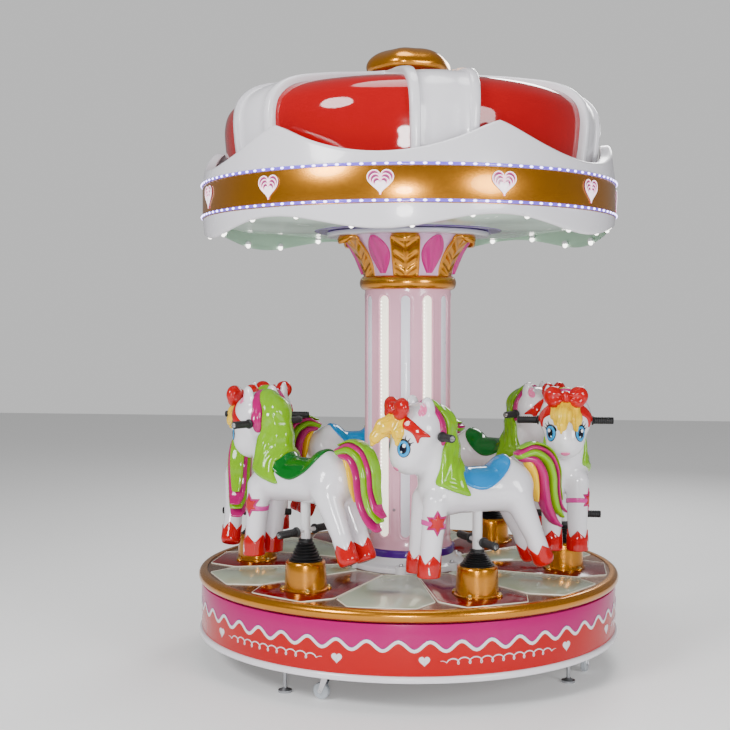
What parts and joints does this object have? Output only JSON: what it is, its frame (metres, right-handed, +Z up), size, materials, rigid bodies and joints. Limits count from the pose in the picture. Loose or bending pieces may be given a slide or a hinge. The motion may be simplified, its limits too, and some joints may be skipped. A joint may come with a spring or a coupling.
{
  "type": "kiddie ride carousel",
  "caption": "Children's carousel ride: skirted base on feet and casters, turning deck, lit column and crown canopy, horses that rise and fall on posts.",
  "frame": {"origin": "on the spin axis at floor level", "axes": "+Z up along the spin axis, -Y towards the front view, +X to the right"},
  "size_m": [1.9997, 1.9998, 2.8736],
  "materials": {
    "bellows_rubber": "matte",
    "box_paint": "powder coat",
    "caster_tyre": "translucent grey",
    "ceiling_gelcoat": "satin gelcoat",
    "chrome_steel": "polished",
    "column_gelcoat": "gloss pink gelcoat",
    "crown_gelcoat": "mirror gloss red",
    "deck_gelcoat": "gloss bronze gelcoat",
    "flute_diffuser": "opal diffuser, lit",
    "gear_steel": "machined and greased",
    "gold_paint": "metallic gold lacquer",
    "grip_rubber": "ribbed, matte",
    "guide_bronze": "bored bronze",
    "horse_gelcoat": "gloss painted",
    "insulator": "matte",
    "lamp_lens": "clear lens over lamps",
    "motor_paint": "semi-gloss paint",
    "panel_gelcoat": "mirror gloss, dark red and pale grey in turn",
    "skirt_paint": "gloss paint, magenta above a white wave and red below",
    "structure_steel": "satin black paint",
    "white_gelcoat": "gloss gelcoat",
    "white_steel": "gloss white enamel",
    "zinc_steel": "zinc plated"
  },
  "bodies": {
    "base": {"base_frame": "structure_steel", "skirt_panels": "skirt_paint", "skirt_trim": "white_gelcoat", "levelling_feet": "zinc_steel", "slew_ring_fixed": "gear_steel", "drive_motor": "motor_paint", "control_box": "box_paint", "slip_ring": "insulator"},
    "turntable": {"slew_ring_gear": "gear_steel", "turntable_frame": "structure_steel", "post_guides": "guide_bronze", "deck": "deck_gelcoat", "deck_rim": "gold_paint", "deck_panels": "panel_gelcoat", "horse_pedestals": "gold_paint", "bellows": "bellows_rubber", "column_plinth": "white_gelcoat", "column_shell": "column_gelcoat", "column_lights": "flute_diffuser", "capital_bell": "gold_paint", "capital_leaves": "gold_paint", "capital_discs": "white_gelcoat", "canopy_frame": "structure_steel", "canopy_ceiling": "ceiling_gelcoat", "canopy_fascia": "white_gelcoat", "gold_band": "gold_paint", "canopy_lights": "lamp_lens", "crown_dome": "crown_gelcoat", "crown_ribs": "white_gelcoat", "finial": "gold_paint"},
    "drive_pinion": {"drive_pinion": "gear_steel"},
    "horse_1": {"horse_1_shell": "horse_gelcoat", "horse_1_frame": "white_steel", "horse_1_grips": "grip_rubber"},
    "horse_2": {"horse_2_shell": "horse_gelcoat", "horse_2_frame": "white_steel", "horse_2_grips": "grip_rubber"},
    "horse_3": {"horse_3_shell": "horse_gelcoat", "horse_3_frame": "white_steel", "horse_3_grips": "grip_rubber"},
    "horse_4": {"horse_4_shell": "horse_gelcoat", "horse_4_frame": "white_steel", "horse_4_grips": "grip_rubber"},
    "horse_5": {"horse_5_shell": "horse_gelcoat", "horse_5_frame": "white_steel", "horse_5_grips": "grip_rubber"},
    "horse_6": {"horse_6_shell": "horse_gelcoat", "horse_6_frame": "white_steel", "horse_6_grips": "grip_rubber"},
    "rocker_beam_1": {"rocker_beam_1": "structure_steel"},
    "rocker_beam_2": {"rocker_beam_2": "structure_steel"},
    "rocker_beam_3": {"rocker_beam_3": "structure_steel"},
    "caster_1_fork": {"caster_1_fork": "chrome_steel"},
    "caster_1_wheel": {"caster_1_wheel": "caster_tyre"},
    "caster_2_fork": {"caster_2_fork": "chrome_steel"},
    "caster_2_wheel": {"caster_2_wheel": "caster_tyre"},
    "caster_3_fork": {"caster_3_fork": "chrome_steel"},
    "caster_3_wheel": {"caster_3_wheel": "caster_tyre"},
    "caster_4_fork": {"caster_4_fork": "chrome_steel"},
    "caster_4_wheel": {"caster_4_wheel": "caster_tyre"}
  },
  "joints": [
    {"name": "turntable_spin", "type": "hinge", "parent": "base", "child": "turntable", "pos_m": [0, 0, 0.2], "axis": [0, 0, 1], "continuous": true},
    {"name": "pinion_spin", "type": "hinge", "parent": "base", "child": "drive_pinion", "pos_m": [-0.07454, 0.27819, 0.2], "axis": [0, 0, 1], "continuous": true},
    {"name": "horse_1_lift", "type": "slide", "parent": "turntable", "child": "horse_1", "axis": [0, 0, 1], "range_m": [-0.032, 0.008], "deforming": ["bellows"]},
    {"name": "horse_2_lift", "type": "slide", "parent": "turntable", "child": "horse_2", "axis": [0, 0, 1], "range_m": [-0.008, 0.032]},
    {"name": "horse_3_lift", "type": "slide", "parent": "turntable", "child": "horse_3", "axis": [0, 0, 1], "range_m": [-0.032, 0.008]},
    {"name": "horse_4_lift", "type": "slide", "parent": "turntable", "child": "horse_4", "axis": [0, 0, 1], "range_m": [-0.008, 0.032]},
    {"name": "horse_5_lift", "type": "slide", "parent": "turntable", "child": "horse_5", "axis": [0, 0, 1], "range_m": [-0.032, 0.008]},
    {"name": "horse_6_lift", "type": "slide", "parent": "turntable", "child": "horse_6", "axis": [0, 0, 1], "range_m": [-0.008, 0.032]},
    {"name": "rocker_beam_1_pivot", "type": "hinge", "parent": "turntable", "child": "rocker_beam_1", "pos_m": [0, -0.64519, 0.276], "axis": [0, 1, 0], "range_deg": [-4.94, 1.25]},
    {"name": "rocker_beam_2_pivot", "type": "hinge", "parent": "turntable", "child": "rocker_beam_2", "pos_m": [0.55875, 0.32259, 0.276], "axis": [-0.866, -0.5, 0], "range_deg": [-4.94, 1.25]},
    {"name": "rocker_beam_3_pivot", "type": "hinge", "parent": "turntable", "child": "rocker_beam_3", "pos_m": [-0.55875, 0.32259, 0.276], "axis": [0.866, -0.5, 0], "range_deg": [-4.94, 1.25]},
    {"name": "caster_1_swivel", "type": "hinge", "parent": "base", "child": "caster_1_fork", "pos_m": [-0.24256, -0.84591, 0.1], "axis": [0, 0, 1], "continuous": true},
    {"name": "caster_1_roll", "type": "hinge", "parent": "caster_1_fork", "child": "caster_1_wheel", "pos_m": [-0.26659, -0.83902, 0.037], "axis": [-0.2756, -0.9613, 0], "continuous": true},
    {"name": "caster_2_swivel", "type": "hinge", "parent": "base", "child": "caster_2_fork", "pos_m": [0.84591, -0.24256, 0.1], "axis": [0, 0, 1], "continuous": true},
    {"name": "caster_2_roll", "type": "hinge", "parent": "caster_2_fork", "child": "caster_2_wheel", "pos_m": [0.83902, -0.26659, 0.037], "axis": [0.9613, -0.2756, 0], "continuous": true},
    {"name": "caster_3_swivel", "type": "hinge", "parent": "base", "child": "caster_3_fork", "pos_m": [0.24256, 0.84591, 0.1], "axis": [0, 0, 1], "continuous": true},
    {"name": "caster_3_roll", "type": "hinge", "parent": "caster_3_fork", "child": "caster_3_wheel", "pos_m": [0.26659, 0.83902, 0.037], "axis": [0.2756, 0.9613, 0], "continuous": true},
    {"name": "caster_4_swivel", "type": "hinge", "parent": "base", "child": "caster_4_fork", "pos_m": [-0.84591, 0.24256, 0.1], "axis": [0, 0, 1], "continuous": true},
    {"name": "caster_4_roll", "type": "hinge", "parent": "caster_4_fork", "child": "caster_4_wheel", "pos_m": [-0.83902, 0.26659, 0.037], "axis": [-0.9613, 0.2756, 0], "continuous": true}
  ],
  "couplings": [
    {"joint": "pinion_spin", "follows": "turntable_spin", "ratio": -5},
    {"joint": "horse_2_lift", "follows": "horse_1_lift", "ratio": -1},
    {"joint": "horse_3_lift", "follows": "horse_1_lift", "ratio": 1},
    {"joint": "horse_4_lift", "follows": "horse_1_lift", "ratio": -1},
    {"joint": "horse_5_lift", "follows": "horse_1_lift", "ratio": 1},
    {"joint": "horse_6_lift", "follows": "horse_1_lift", "ratio": -1},
    {"joint": "rocker_beam_1_pivot", "follows": "horse_1_lift", "rad_per_m": 2.6846},
    {"joint": "rocker_beam_2_pivot", "follows": "horse_1_lift", "rad_per_m": 2.6846},
    {"joint": "rocker_beam_3_pivot", "follows": "horse_1_lift", "rad_per_m": 2.6846}
  ]
}
